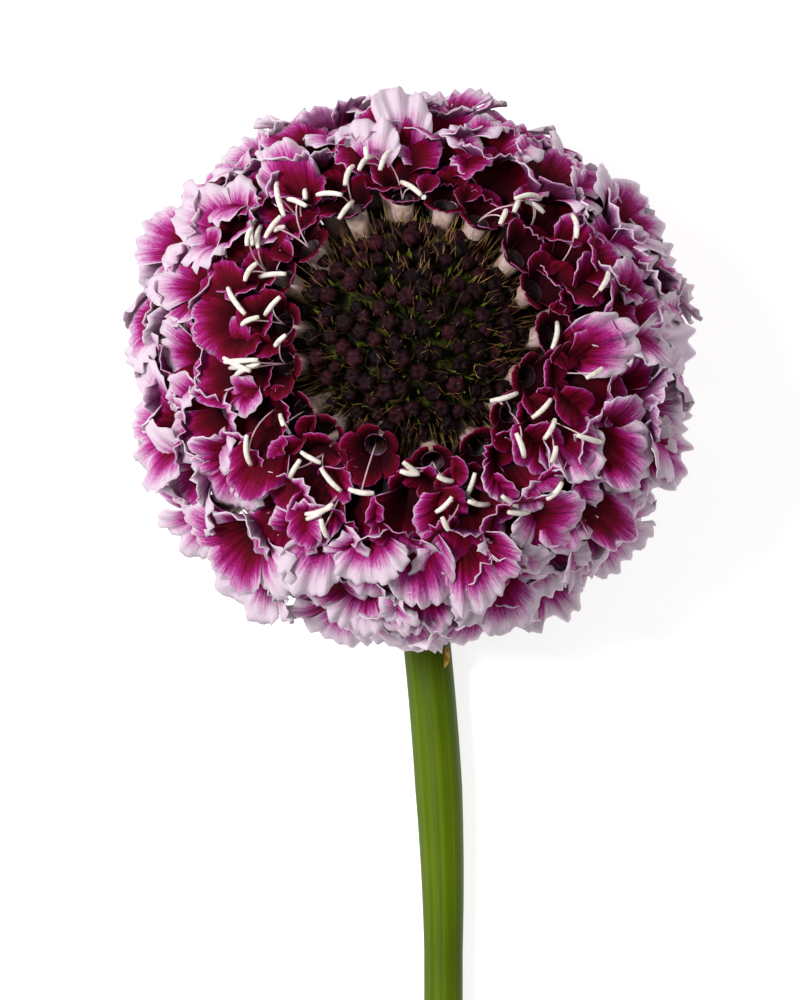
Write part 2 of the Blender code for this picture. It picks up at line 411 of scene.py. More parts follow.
def petal_material(name, stops, pale_shift):
    """Radial streaks from a dark throat to a pale margin, with a bright line at the edge that is partly the
    petal's own rim and partly painted highlight. The tone map holds each lobe's pale share.
    """
    s = Shader(name)
    across, along, _ = s.split(s.uv("UVMap"))
    pale, chance, _ = s.split(s.uv("tone"))
    offset = s.times(chance, 37.0)
    streaks = s.noise(s.combine(s.maths("MULTIPLY_ADD", across, 16.0, offset), along, offset), 1.0, 3.0, 0.6)
    fine_across = s.maths("MULTIPLY_ADD", across, 55.0, offset)
    fine = s.noise(s.combine(fine_across, s.times(along, 3.0), offset), 1.0, 2.0, 0.6)
    clouds = s.noise(s.combine(s.times(across, 3.0), s.times(along, 3.0), offset), 1.0, 2.0)
    grain = s.noise(s.combine(s.times(across, 44.0), s.times(along, 26.0), offset), 1.0, 2.0, 0.6)
    side = s.maths("ABSOLUTE", s.maths("MULTIPLY_ADD", across, 2.0, -1.0))
    side = s.times(s.maths("POWER", side, 5.0), s.span(along, 0.2, 0.8, 0.0, 0.55))
    reach = s.maths("MAXIMUM", along, s.maths("ADD", s.times(along, 0.5), side))
    for value, amount in ((streaks, 0.26), (clouds, 0.22), (grain, 0.2), (fine, 0.36)):
        reach = s.maths("MULTIPLY_ADD", s.maths("SUBTRACT", value, 0.5), amount, reach)
    reach = s.maths("MULTIPLY_ADD", s.maths("SUBTRACT", pale, PALE_MIDDLE), pale_shift, reach)
    reach = s.times(reach, s.span(along, 0.0, 0.35, 0.4, 1.0))
    # A bright line along the margin: partly the petal's own pale rim, partly a painted highlight on the edge
    rim = s.span(along, 0.93, 1.0, 0.0, 0.12)
    reach = s.maths("MULTIPLY_ADD", rim, s.span(pale, 0.0, 0.35, 0.35, 1.0), reach)
    colour = s.ramp(reach, stops)
    s.bump(s.maths("ADD", s.times(fine, 0.6), streaks), 0.5, 0.00025)
    return s.finish(colour, s.span(streaks, 0.0, 1.0, 0.6, 0.8), 0.07)


# Mottled surfaces: colours along the noise, the noise's scale, roughness, relief and shine
PLAIN_LOOKS = {
    "tube": (((0.3, "8a6a62"), (0.6, "c0a69c"), (0.8, "d8c6bc")), 700, 0.6, 0.2, 0.4),
    "tube_inside": (((0.3, "18030a"), (0.7, "330a18")), 700, 0.6, 0.2, 0.4),
    "involucel": (((0.3, "1e1608"), (0.55, "3c3414"), (0.8, "6a6434")), 600, 0.7, 0.4, 0.4),
    "cushion_base": (((0.35, "080702"), (0.5, "181a06"), (0.66, "3c4206")), 900, 0.8, 0.5, 0.1),
    "bristle": (((0.35, "3a2410"), (0.5, "78542a"), (0.66, "c09a5c")), 260, 0.5, 0.0, 0.4),
    "bract_tip": (((0.35, "2e3806"), (0.55, "545e0c"), (0.75, "848a20")), 700, 0.5, 0.2, 0.4),
    "anther": (((0.3, "cfc2b4"), (0.5, "eae2d6"), (0.75, "fbf6ee")), 1500, 0.55, 0.4, 0.4),
    "filament": (((0.3, "c79aa8"), (0.7, "ead0d4")), 300, 0.45, 0.0, 0.4),
    "bract": (((0.35, "3a5210"), (0.55, "587224"), (0.75, "7c944a")), 420, 0.62, 0.4, 0.4),
    "withered": (((0.35, "6a4208"), (0.5, "a8781c"), (0.7, "d8b458")), 1500, 0.7, 0.5, 0.4),
    "receptacle": (((0.3, "3a4a12"), (0.6, "64763a"), (0.8, "8c9a5c")), 500, 0.7, 0.5, 0.4),
}


def plain_material(name):
    """A ramp of colours over noise, with the same noise as relief."""
    stops, scale, roughness, bump, specular = PLAIN_LOOKS[name]
    s = Shader(name)
    mottle = s.noise(s.place(), scale, 3.0, 0.6)
    s.bump(mottle, bump, 0.0002)
    return s.finish(s.ramp(mottle, stops), roughness, specular)


# The florets


def lobe_pattern(number, cells):
    """A flat grid whose points carry their part's number."""
    made = flat_grid(*cells)
    part = made.data.attributes.new("part", "INT", "POINT")
    part.data.foreach_set("value", [number] * len(made.data.vertices))
    return made


def floret_pattern():
    """Five flat grids, one for each lobe, and one for the tube, all in one mesh."""
    grids = (BIG_GRID,) * LARGE_LOBES + (SMALL_GRID,) * (TUBE_PART + 1 - LARGE_LOBES)
    made = [lobe_pattern(number, cells) for number, cells in enumerate(grids)]
    activate(made[0])
    for grid in made:
        grid.select_set(True)
    bpy.ops.object.join()
    return made[0]


def midrib(length, first_slope, last_slope):
    """The distance from the axis and the height along a lobe that bends outwards as it grows."""
    steps = np.linspace(0.0, 1.15, 47)
    slope = first_slope + (last_slope - first_slope) * steps**0.55
    move = steps[1] - steps[0]
    out = np.concatenate(([0.0], np.cumsum(np.sin(slope[:-1]) * move))) * length
    up = np.concatenate(([0.0], np.cumsum(np.cos(slope[:-1]) * move))) * length
    return steps, out, up, slope


def shape_lobe(across, along, azimuth, length, width, slopes, ruffle, dice, notch, curl):
    """Places a lobe's grid on a trumpet round the floret's axis, with teeth, pleats and waves."""
    waves = [dice.uniform(0, math.tau) for _ in range(8)]
    teeth = (
        0.34 * np.sin(6.0 * across + waves[0])
        + 0.40 * np.abs(np.sin(8.5 * across + waves[1]))
        + 0.30 * np.sin(23.0 * across + waves[2])
    )
    margin = 1 - 0.30 * np.abs(across) ** 2.5 + (0.01 + 0.036 * ruffle) * teeth
    margin -= notch * np.exp(-((across - 0.1 * math.sin(waves[3])) / 0.16) ** 2)
    base = THROAT_RADIUS * 0.9
    fan = width * (0.72 + 0.28 * along) * across
    apex = base / math.sin(width)
    reach = apex + along * length * margin
    sideways = reach * np.sin(fan)
    forward = np.maximum(reach * np.cos(fan) - apex * np.cos(width * 0.72 * across), 0.0)
    steps, out, up, slope = midrib(length, *slopes)
    share = forward / length
    radius = THROAT_RADIUS + np.interp(share, steps, out)
    height = np.interp(share, steps, up)
    tilt = np.interp(share, steps, slope)
    bow = radius * (1 + 0.8 * along)
    round_angle = sideways / bow
    swell = along**1.4
    wave = 0.62 * np.sin((2.6 + dice.uniform(-0.6, 0.9)) * across * math.pi * 0.8 + waves[4])
    wave += 0.40 * np.sin((4.6 + dice.uniform(-0.8, 0.8)) * across * math.pi + waves[5])
    edge = 0.45 + 0.55 * np.abs(across)
    lift = ruffle * 0.62 * swell * along * wave * edge
    lift += ruffle * 0.15 * along**1.1 * np.sin(13.0 * across * math.pi * 0.5 + waves[6])
    lift += ruffle * 0.26 * np.clip(along - 0.72, 0, 1) * np.sin(21.0 * across + waves[7]) * 3
    lift -= curl * np.clip(along - 0.6, 0, 1) ** 2 * length
    out = np.array((math.cos(azimuth), math.sin(azimuth), 0.0))
    side = np.array((math.sin(azimuth), -math.cos(azimuth), 0.0))
    upward = np.array((0.0, 0.0, 1.0))
    outward = np.cos(round_angle)[:, None] * out + np.sin(round_angle)[:, None] * side
    normal = -np.cos(tilt)[:, None] * outward + np.sin(tilt)[:, None] * upward
    places = (radius - bow)[:, None] * out + bow[:, None] * outward
    return places + upward * height[:, None] + normal * lift[:, None]


def shape_tube(across, along, length):
    """Rolls the tube's grid round the axis, widening from its foot to the throat."""
    angle = across * math.pi
    radius = TUBE_FOOT_RADIUS + (THROAT_RADIUS * 1.02 - TUBE_FOOT_RADIUS) * along**1.5
    return np.stack([np.cos(angle) * radius, np.sin(angle) * radius, (along - 1) * length], 1)


def pointing(polar, azimuth):
    """A turn that takes +Z to that direction from the head's centre."""
    return turned(azimuth, "Z") @ turned(polar, "X") @ turned(math.pi, "Z")


def floret_frame(polar, azimuth, dice):
    """The lobes' turn, a little off the tube's own, and the tube's direction."""
    turn = pointing(polar, azimuth)
    tip = turned(dice.uniform(-WOBBLE, WOBBLE), "X")
    roll = turned(dice.uniform(-WOBBLE, WOBBLE), "Y")
    spin = turned(dice.uniform(-0.3, 0.3), "Z")
    return turn @ tip @ roll @ spin, turn @ Vector((0, 0, 1))


def keep_off(places):
    """Presses petals and leaves flat on the table and keeps them off the stem."""
    level = PRESSED_BELOW * MM
    heights = places[:, 2]
    low = heights < level
    heights[low] = level * np.exp((heights[low] - level) / level) + PRESSED_GAP * MM
    path = np.array([list(point) for point, _ in STEM_PATH])
    radii = np.array([radius for _, radius in STEM_PATH]) + STEM_GAP * MM
    left, right = NEAR_STEM
    near = (places[:, 0] > left) & (places[:, 0] < right) & (places[:, 1] < HEAD_CENTRE.y)
    for index in np.where(near)[0]:
        gaps = path - places[index]
        nearest = int(np.argmin((gaps**2).sum(1)))
        gap = -gaps[nearest]
        size = math.sqrt(float((gap**2).sum()))
        if size < radii[nearest]:
            places[index] = path[nearest] + gap / max(size, 1e-6) * radii[nearest]
    return places


def make_floret(pattern, name, ring, polar, azimuth, materials, size):
    """One open floret, with its five lobes and tube shaped from the flat pattern."""
    ring_name, ring_polar, _, _, throat, length, pale, ruffle, lean = ring
    outward = lean - ring_polar
    dice = random.Random(name)
    thing = add_to_scene(name, pattern.data.copy())
    mesh = thing.data
    across, along = grid_shares(mesh)
    part = numbers(mesh.attributes["part"].data, "value")
    inner = ring_name == "inner"
    near_buds = ring_name in ("inner", "crown")
    places = np.zeros((len(across), 3))
    tones = np.zeros((TUBE_PART + 1, 2))
    for lobe in range(TUBE_PART):
        chosen = part == lobe
        small = lobe >= LARGE_LOBES
        share = LOBE_SIZES[lobe] * (0.9 if inner and not small else 1.0)
        if near_buds and small:
            share = SHORT_LOBE
        lobe_length = length * share * size * dice.uniform(0.88, 1.1)
        width = math.radians(dice.uniform(15, 20) if inner else dice.uniform(25, 33))
        if lobe == 0:
            last = outward + dice.uniform(-10, 18)
        elif not small:
            last = outward * 0.8 + dice.uniform(8, 34)
        else:
            last = dice.uniform(60, 95) if near_buds else dice.uniform(38, 78)
        slopes = (math.radians(13), math.radians(max(last, 18)))
        turn = math.radians(90 + LOBE_AZIMUTHS[lobe] + dice.uniform(-9, 9))
        notch = dice.choice((0.0, 0.0, 0.1, 0.2)) if not inner else 0.0
        curl = dice.uniform(-0.2, 0.9)
        places[chosen] = shape_lobe(
            across[chosen], along[chosen], turn, lobe_length, width, slopes, ruffle, dice, notch, curl
        )
        lobe_pale = pale + dice.uniform(-0.16, 0.2) - (0.2 if small else 0.0)
        tones[lobe] = (max(0.0, min(1.0, lobe_pale)), dice.random())
    tube = part == TUBE_PART
    places[tube] = shape_tube(across[tube], along[tube], throat - TUBE_FOOT)
    turn, direction = floret_frame(polar, azimuth, dice)
    basis = np.array(turn.to_3x3())
    base = np.array(direction) * throat
    places[~tube] = places[~tube] @ basis.T + base
    straight = np.array(direction.to_track_quat("Z", "Y").to_matrix())
    places[tube] = places[tube] @ straight.T + base
    set_coords(mesh, keep_off(head_to_world(places)))
    corners = numbers(mesh.loops, "vertex_index")
    add_uv(mesh, "tone", tones[part[corners]])
    first = numbers(mesh.polygons, "loop_start")
    slots = np.where(tube[corners[first]], TUBE, FRONT).astype(np.int32)
    mesh.polygons.foreach_set("material_index", slots)
    dress_petals(thing, materials)
    return thing, direction


def make_involucels(florets):
    """The papery ribbed cup at the foot of every floret, which fills the head's inside."""
    bpy.ops.mesh.primitive_cylinder_add(vertices=16, radius=1, depth=1, end_fill_type="NOTHING")
    pattern = bpy.context.object
    activate(pattern)
    bpy.ops.object.mode_set(mode="EDIT")
    bpy.ops.mesh.select_all(action="SELECT")
    bpy.ops.mesh.subdivide(number_cuts=2)
    bpy.ops.object.mode_set(mode="OBJECT")
    x, y, z = coords(pattern.data).T
    along = z + 0.5
    angle = np.arctan2(y, x)
    radius = (0.6 + 2.3 * along**1.2) * (1 + 0.06 * np.cos(8 * angle) * along)
    places = [np.cos(angle) * radius, np.sin(angle) * radius, along * CUP_LENGTH]
    set_coords(pattern.data, np.stack(places, 1))
    turns = []
    for _, direction, _ in florets:
        turn = direction.to_track_quat("Z", "Y").to_matrix().to_4x4()
        turns.append(turn @ lifted(CUP_FOOT))
    piece_of_copies("involucels", pattern, turns, plain_material("involucel"))


def make_florets():
    """All open florets, ring by ring. The nearest one stands for each of the CAD model's."""
    pattern = floret_pattern()
    front = petal_material("petal_front", FRONT_STOPS, 0.95)
    back = petal_material("petal_back", BACK_STOPS, 0.85)
    edge = petal_material("petal_edge", EDGE_STOPS, 1.0)
    materials = (front, back, plain_material("tube"), plain_material("tube_inside"), edge)
    heart = {}
    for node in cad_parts:
        if "floret" in node:
            low, high = [Vector(corner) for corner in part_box(node)]
            heart[node] = world_to_head((low + high) / 2).normalized()
    made = []
    for ring in RINGS:
        name, polar, count, first, throat = ring[:5]
        dice = random.Random(name + " ring")
        for number in range(count):
            azimuth = math.radians(first) + math.tau * number / count
            azimuth += dice.uniform(-0.22, 0.22) * math.tau / count
            bend = math.radians(polar + dice.uniform(-3, 3))
            piece = f"{name}_floret_{number + 1:02d}"
            size = dice.uniform(0.84, 1.16)
            thing, direction = make_floret(pattern, piece, ring, bend, azimuth, materials, size)
            made.append((thing, direction, throat))
    free = set(range(len(made)))
    stand_in = {}
    for node, direction in sorted(heart.items()):
        best = max(free, key=lambda index: made[index][1].dot(direction))
        stand_in[best] = node
        free.discard(best)
    for index, (thing, _, _) in enumerate(made):
        nodes = [stand_in[index]] if index in stand_in else []
        finish_piece(thing, thing.name, nodes=nodes)
    bpy.data.objects.remove(pattern)
    make_broad_petals(made, materials)
    return made


def bloom_radius(point):
    """How far the petals reach from the head's centre in that direction, in millimetres."""
    polar = math.degrees(math.acos(max(-1.0, min(1.0, point.normalized().z))))
    return float(np.interp(polar, BLOOM_ANGLES, BLOOM_REACH))


def on_bloom(x, y):
    """The point of the petals' outer surface that shows at that pixel, found in halved steps."""
    radius = BLOOM_REACH[-1]
    for _ in range(BLOOM_TRIES):
        radius = (radius + bloom_radius(on_ball(x, y, radius))) / 2
    return on_ball(x, y, radius)


def bezier(first, second, third, fourth, steps):
    """Evenly stepped points along a curve with those four control points."""
    out = []
    for step in range(steps):
        t = step / (steps - 1)
        start = first * (1 - t) ** 3 + second * 3 * t * (1 - t) ** 2
        out.append(start + third * 3 * t**2 * (1 - t) + fourth * t**3)
    return out


def petal_middle(throat, axis, foot, tip, arch):
    """A petal's middle line: the claw from the throat to the foot, then the fan on to the tip."""
    claw = (foot - throat).length
    fan = (tip - foot).length
    ahead = (tip - foot).normalized()
    up = (foot + tip).normalized()
    at_foot = (ahead + up * arch).normalized()
    at_tip = (ahead - up * arch).normalized()
    points = bezier(throat, throat + axis * claw * 0.4, foot - at_foot * claw * 0.4, foot, MIDDLE_STEPS)
    points += bezier(foot, foot + at_foot * fan * 0.35, tip - at_tip * fan * 0.35, tip, MIDDLE_STEPS)[1:]
    return np.array([tuple(point) for point in points])


def scallops(across, count, waves, dice):
    """A margin of rounded scallops with sharp notches between them, and one or two deeper splits."""
    out = 0.30 * np.abs(np.sin(count * across * 0.5 * math.pi + waves[0])) ** 0.6
    out += 0.13 * np.abs(np.sin(count * across * 0.9 * math.pi + waves[1]))
    out += 0.30 * np.sin(2.6 * across + waves[2])
    for _ in range(dice.choice((0, 0, 1, 2))):
        out -= dice.uniform(0.4, 0.9) * np.exp(-(((across - dice.uniform(-0.7, 0.7)) / 0.045) ** 2))
    return out


def along_line(run, places, line):
    """The line's values at those distances along it."""
    return np.stack([np.interp(places, run, part) for part in line.T], 1)


def shape_broad_petal(across, along, throat, axis, foot, tip, width, dice):
    """A narrow claw out of a floret's throat that opens into a broad, scalloped and pleated fan."""
    waves = [dice.uniform(0, math.tau) for _ in range(9)]
    middle = petal_middle(throat, axis, foot, tip, dice.uniform(0.15, 0.6))
    steps = np.linalg.norm(np.diff(middle, axis=0), axis=1)
    run = np.concatenate(([0.0], np.cumsum(steps)))
    claw = run[MIDDLE_STEPS - 1]
    fan = np.clip((along - CLAW_SHARE) / (1 - CLAW_SHARE), 0, 1)
    length = run[-1] - claw
    turn = across * FAN_TURN
    edge = 1 + (scallops(across, width * SCALLOPS_PER_MM, waves, dice) - SCALLOP_MEAN) / length
    sideways = across * CLAW_HALF_WIDTH * (1 - fan) + fan * edge * width / 2 * np.sin(turn)
    reach = edge * (FAN_MIDDLE + (1 - FAN_MIDDLE) * np.cos(turn))
    ahead = np.where(along < CLAW_SHARE, along / CLAW_SHARE * claw, claw + fan * length * reach)
    wave = 0.6 * np.sin(dice.uniform(3.4, 5.6) * across + waves[3])
    wave += 0.4 * np.sin(dice.uniform(7.0, 10.0) * across + waves[4])
    pleat = 0.14 * np.sin(width * 2.9 * across + waves[5])
    pleat += 0.08 * fan * np.sin(width * 4.6 * across + waves[6])
    frill = 1.1 * np.clip(fan - 0.55, 0, 1) * np.sin(width * 2.2 * across + waves[7])
    lift = dice.uniform(-0.9, 0.7) * across**2 * fan
    lift += wave * fan**2 * (0.35 + 0.65 * np.abs(across)) + pleat * fan**0.7 + frill
    lift -= dice.uniform(0.0, 2.2) * np.clip(fan - 0.6, 0, 1) ** 2
    spot = along_line(run, ahead, middle)
    over = np.maximum(ahead - run[-1], 0)[:, None]
    last = (middle[-1] - middle[-2]) / steps[-1]
    forward = along_line(run, ahead, np.gradient(middle, axis=0))
    forward /= np.linalg.norm(forward, axis=1)[:, None]
    side = np.array((tip - foot).cross(foot + tip).normalized())
    out = np.cross(side, forward)
    out /= np.linalg.norm(out, axis=1)[:, None]
    return spot + over * last + sideways[:, None] * side + lift[:, None] * out, fan


def make_broad_petals(florets, materials):
    """The largest petals on the face, each with its claw in the throat of the nearest floret."""
    pattern = flat_grid(*FAN_GRID)
    across, along = grid_shares(pattern.data)
    corners = numbers(pattern.data.loops, "vertex_index")
    faces = np.array([tuple(face.vertices) for face in pattern.data.polygons])
    places = []
    tones = []
    maps = []
    for number, (x1, y1, x2, y2, width, pale) in enumerate(BROAD_PETALS):
        dice = random.Random(f"broad petal {number}")
        foot = on_bloom(x1, y1)
        tip = on_bloom(x2, y2)
        foot *= (foot.length - FOOT_DEPTH) / foot.length
        tip *= (tip.length + dice.uniform(-0.5, 0.4)) / tip.length
        _, axis, distance = min(florets, key=lambda item: (item[1] * item[2] - foot).length)
        throat = axis * distance
        forward = (tip - foot).normalized()
        foot += forward * max(0.0, (throat - foot).dot(forward) + FOOT_CLEAR)
        width /= PIXELS_PER_MM
        place, fan = shape_broad_petal(across, along, throat, axis, foot, tip, width, dice)
        places.append(place)
        maps.append(np.stack([across / 2 + 0.5, fan], 1)[corners])
        tones.append((pale + dice.uniform(-0.04, 0.04), dice.random()))
    mesh = bpy.data.meshes.new("broad_petals")
    every = np.concatenate([faces + number * len(across) for number in range(len(places))])
    mesh.from_pydata(head_to_world(np.concatenate(places)).tolist(), [], every.tolist())
    add_uv(mesh, "UVMap", np.concatenate(maps))
    add_uv(mesh, "tone", np.repeat(tones, len(corners), axis=0))
    set_coords(mesh, keep_off(coords(mesh)))
    thing = add_to_scene("broad_petals", mesh)
    dress_petals(thing, materials)
    finish_piece(thing, "broad_petals")
    bpy.data.objects.remove(pattern)


def dress_petals(thing, materials):
    """Materials and thickness: the wall's back is one slot on from its front, and the rim is the last."""
    for material in materials:
        thing.data.materials.append(material)
    wall = thing.modifiers.new("Wall", "SOLIDIFY")
    wall.thickness = PETAL_THICKNESS * MM
    wall.offset = 0.0
    wall.material_offset = BACK - FRONT
    wall.material_offset_rim = EDGE - FRONT
    apply_all(thing)
    thing.data.shade_smooth()


# The buds, their bracts and bristles


def join_copies(name, pattern, turns):
    """One mesh of the pattern's copies, each with its own place, turn and size."""
    source = coords(pattern)
    shape = [tuple(face.vertices) for face in pattern.polygons]
    corners = len(pattern.loops)
    places = []
    faces = []
    for number, turn in enumerate(turns):
        matrix = np.array(turn)
        places.append(source @ matrix[:3, :3].T + matrix[:3, 3])
        faces.extend(tuple(v + number * len(source) for v in face) for face in shape)
    mesh = bpy.data.meshes.new(name)
    mesh.from_pydata(head_to_world(np.concatenate(places)).tolist(), [], faces)
    if pattern.uv_layers:
        flat = np.empty(corners * 2, dtype=np.float32)
        pattern.uv_layers[0].data.foreach_get("uv", flat)
        add_uv(mesh, "UVMap", np.tile(flat, len(turns)))
    dice = random.Random(name)
    add_uv(mesh, "tone", np.repeat([[dice.random(), dice.random()] for _ in turns], corners, axis=0))
    mesh.shade_smooth()
    return add_to_scene(name, mesh)


def piece_of_copies(name, pattern, turns, material, nodes=()):
    """The pattern's copies as one piece. The pattern itself is then removed."""
    finish_piece(join_copies(name, pattern.data, turns), name, material, nodes)
    bpy.data.objects.remove(pattern)


def bud_places():
    """A sunflower spiral of buds over the crown, as (polar, azimuth) in radians."""
    out = []
    for number in range(BUD_COUNT):
        polar = BUDS_REACH * math.sqrt((number + 0.5) / BUD_COUNT)
        out.append((polar, number * GOLDEN_ANGLE))
    return out


def bud_pattern():
    """A round bud of five folded lobes that meet in a star at its tip."""
    bpy.ops.mesh.primitive_uv_sphere_add(segments=30, ring_count=14, radius=1.0)
    made = bpy.context.object
    x, y, z = coords(made.data).T
    ring = np.hypot(x, y)
    lobes = np.abs(np.sin(2.5 * np.arctan2(y, x)))
    groove = 1 - 0.3 * (1 - lobes) ** 1.6 * np.clip(ring * 1.5, 0, 1) * np.clip(z + 0.9, 0, 1)
    groove = np.where(z < 0, groove * (1 - 0.55 * np.abs(z)), groove)
    height = z * np.where(z > 0, 0.82, 1.5) - 0.32 * np.exp(-((ring / 0.28) ** 2)) * (z > 0)
    set_coords(made.data, np.stack([x * groove, y * groove, height], 1))
    return made


def spike_pattern(sides, tip, flatten):
    """A cone of unit height and radius, standing on its foot."""
    bpy.ops.mesh.primitive_cone_add(vertices=sides, radius1=1.0, radius2=tip, depth=1.0)
    made = bpy.context.object
    flat = coords(made.data)
    flat[:, 2] += 0.5
    flat[:, 1] *= flatten
    set_coords(made.data, flat)
    return made


def make_cushion():
    """The buds and all that stands between them."""
    dice = random.Random("cushion")
    places = bud_places()
    pattern = bud_pattern()
    turns = []
    for polar, azimuth in places:
        size = dice.uniform(0.80, 1.16)
        place = pointing(polar + dice.uniform(-0.025, 0.025), azimuth + dice.uniform(-0.06, 0.06))
        height = BUD_HEIGHT + dice.uniform(-0.5, 0.5)
        turn = place @ lifted(height) @ turned(dice.uniform(0, 6), "Z")
        turns.append(turn @ Matrix.Diagonal((size, size, size, 1)))
    piece_of_copies("buds", pattern, turns, bud_material(), ["bud_cluster"])
    make_cushion_base()
    make_bristles(places)
    make_bract_tips(places)


def make_cushion_base():
    """The dark lumpy dome under the buds, closed below."""
    bpy.ops.mesh.primitive_uv_sphere_add(segments=72, ring_count=48, radius=1.0)
    base = bpy.context.object
    x, y, z = coords(base.data).T
    polar = np.arccos(np.clip(z, -1, 1))
    squeeze = np.minimum(polar, CUSHION_EDGE + 0.02 * polar)
    azimuth = np.arctan2(y, x)
    radius = CUSHION_RADIUS * np.interp(polar, (CUSHION_EDGE, math.pi), (1, 0.5))
    radius += 0.35 * np.sin(azimuth * 13 + polar * 30) * np.sin(polar * 34) * (polar < CUSHION_EDGE)
    wide = np.sin(squeeze)
    level = np.stack([wide * np.cos(azimuth), wide * np.sin(azimuth), np.cos(squeeze)], 1)
    set_coords(base.data, head_to_world(level * radius[:, None]))
    base.data.shade_smooth()
    finish_piece(base, "cushion_base", plain_material("cushion_base"))


def bud_material():
    s = Shader("bud")
    place = s.place()
    chance, _, _ = s.split(s.uv("tone"))
    cloud = s.noise(place, 900.0, 4.0, 0.6)
    bloom_and_highlight = s.noise(place, 2600.0, 3.0, 0.7)
    value = s.maths("MULTIPLY_ADD", chance, 0.3, s.times(cloud, 0.7))
    colour = s.ramp(value, ((0.25, "070203"), (0.45, "14060a"), (0.62, "270c14"), (0.8, "481622")))
    # Grey-mauve flecks over the dark buds: partly a waxy bloom, partly painted highlights
    colour = s.mix(s.span(bloom_and_highlight, 0.54, 0.8, 0.0, 0.16), colour, "4c3438")
    s.bump(bloom_and_highlight, 0.6, 0.0001)
    return s.finish(colour, 0.6, 0.08)


def make_bristles(places):
    """Brown hairs round every bud, longer and leaning outwards at the cushion's rim."""
    dice = random.Random("bristles")
    pattern = spike_pattern(3, 0.12, 1.0)
    turns = []
    for polar, azimuth in places:
        for _ in range(BRISTLES_PER_BUD):
            start = pointing(polar + dice.uniform(-0.06, 0.06), azimuth + dice.uniform(-0.2, 0.2))
            angle = math.radians(dice.uniform(5, 40))
            lean = turned(angle, Vector((dice.uniform(-1, 1), dice.uniform(-1, 1), 0)))
            length = dice.uniform(2.4, 3.8)
            thick = dice.uniform(0.05, 0.08)
            place = start @ lifted(BRISTLE_FOOT) @ lean
            turns.append(place @ Matrix.Diagonal((thick, thick, length, 1)))
    for number in range(RIM_BRISTLES):
        azimuth = number / RIM_BRISTLES * math.tau + dice.uniform(-0.02, 0.02)
        start = pointing(math.radians(dice.uniform(34, 44)), azimuth)
        angle = math.radians(dice.uniform(-62, -8))
        lean = turned(angle, Vector((1, dice.uniform(-0.35, 0.35), 0)))
        length = dice.uniform(2.4, 4.6)
        thick = dice.uniform(0.05, 0.085)
        place = start @ lifted(dice.uniform(16.4, 17.6)) @ lean
        turns.append(place @ Matrix.Diagonal((thick, thick, length, 1)))
    piece_of_copies("bristles", pattern, turns, plain_material("bristle"))


def make_bract_tips(places):
    """Narrow green bracts that stand between the buds."""
    dice = random.Random("tips")
    pattern = spike_pattern(6, 0.1, 0.4)
    turns = []
    for polar, azimuth in places[:BRACT_TIPS]:
        around = pointing(polar, azimuth) @ turned(dice.uniform(0, 6.28), "Z")
        lean = turned(dice.uniform(-0.2, 0.2), "X")
        place = around @ Matrix.Translation((0, 1.05, BRACT_TIP_FOOT)) @ lean
        size = dice.uniform(0.34, 0.5)
        turns.append(place @ Matrix.Diagonal((size, size, dice.uniform(1.6, 2.4), 1)))
    piece_of_copies("bract_tips", pattern, turns, plain_material("bract_tip"))


# Stamens


def sweep(points, radii, sides):
    """Vertices and faces of a closed tube along the points."""
    verts = []
    faces = []
    side = Vector((0.3, 0.5, 0.8))
    for index, (point, radius) in enumerate(zip(points, radii)):
        ahead = points[min(index + 1, len(points) - 1)] - points[max(index - 1, 0)]
        ahead.normalize()
        side = (side - ahead * side.dot(ahead)).normalized()
        other = ahead.cross(side)
        for step in range(sides):
            angle = math.tau * step / sides
            verts.append(point + (side * math.cos(angle) + other * math.sin(angle)) * radius)
    for index in range(len(points) - 1):
        for step in range(sides):
            a = index * sides + step
            b = index * sides + (step + 1) % sides
            faces.append((a, b, b + sides, a + sides))
    last = (len(points) - 1) * sides
    faces.append(tuple(reversed(range(sides))))
    faces.append(tuple(range(last, last + sides)))
    return verts, faces


def swept_piece(name, parts, material):
    """One piece of several swept parts, given in the head's millimetres."""
    verts = []
    faces = []
    for part_verts, part_faces in parts:
        base = len(verts)
        verts.extend(part_verts)
        faces.extend(tuple(v + base for v in face) for face in part_faces)
    mesh = bpy.data.meshes.new(name)
    mesh.from_pydata(head_to_world(np.array([tuple(v) for v in verts])).tolist(), [], faces)
    mesh.shade_smooth()
    finish_piece(add_to_scene(name, mesh), name, material)


def make_stamens(florets):
    """Each anther just above the petals at its place, on a filament out of the nearest throat."""
    dice = random.Random("stamens")
    anthers = []
    filaments = []
    throats = [(direction * throat, direction) for _, direction, throat in florets]
    for x1, y1, x2, y2 in ANTHERS:
        middle = seen_at((x1 + x2) / 2, (y1 + y2) / 2)
        radius = max(middle, seen_at(x1, y1), seen_at(x2, y2)) + ANTHER_LIFT
        first = on_ball(x1, y1, radius)
        second = on_ball(x2, y2, radius + dice.uniform(-0.5, 0.5))
        centre = (first + second) / 2
        along = second - first
        bow = centre.normalized() * along.length * dice.uniform(0.04, 0.14)
        points = []
        radii = []
        for step in range(ANTHER_STEPS):
            share = step / (ANTHER_STEPS - 1)
            points.append(first + along * share + bow * 4 * share * (1 - share))
            radii.append(ANTHER_RADIUS * (0.45 + 0.55 * math.sin(math.pi * (0.12 + 0.76 * share)) ** 0.6))
        anthers.append(sweep(points, radii, 8))
        inside = [pair for pair in throats if pair[1].angle(centre) > 0.02]
        aim = centre.normalized()
        throat, direction = min(inside, key=lambda pair: (pair[0].normalized() - aim).length)
        knee = throat + direction * (radius - throat.length) * 0.55 + (centre - throat) * 0.2
        curve = []
        for step in range(FILAMENT_STEPS):
            t = step / (FILAMENT_STEPS - 1)
            curve.append(throat * (1 - t) ** 2 + knee * 2 * t * (1 - t) + centre * t**2)
        filaments.append(sweep(curve, [FILAMENT_RADIUS] * FILAMENT_STEPS, 5))
    swept_piece("anthers", anthers, plain_material("anther"))
    swept_piece("filaments", filaments, plain_material("filament"))


# The stem and the green under the head


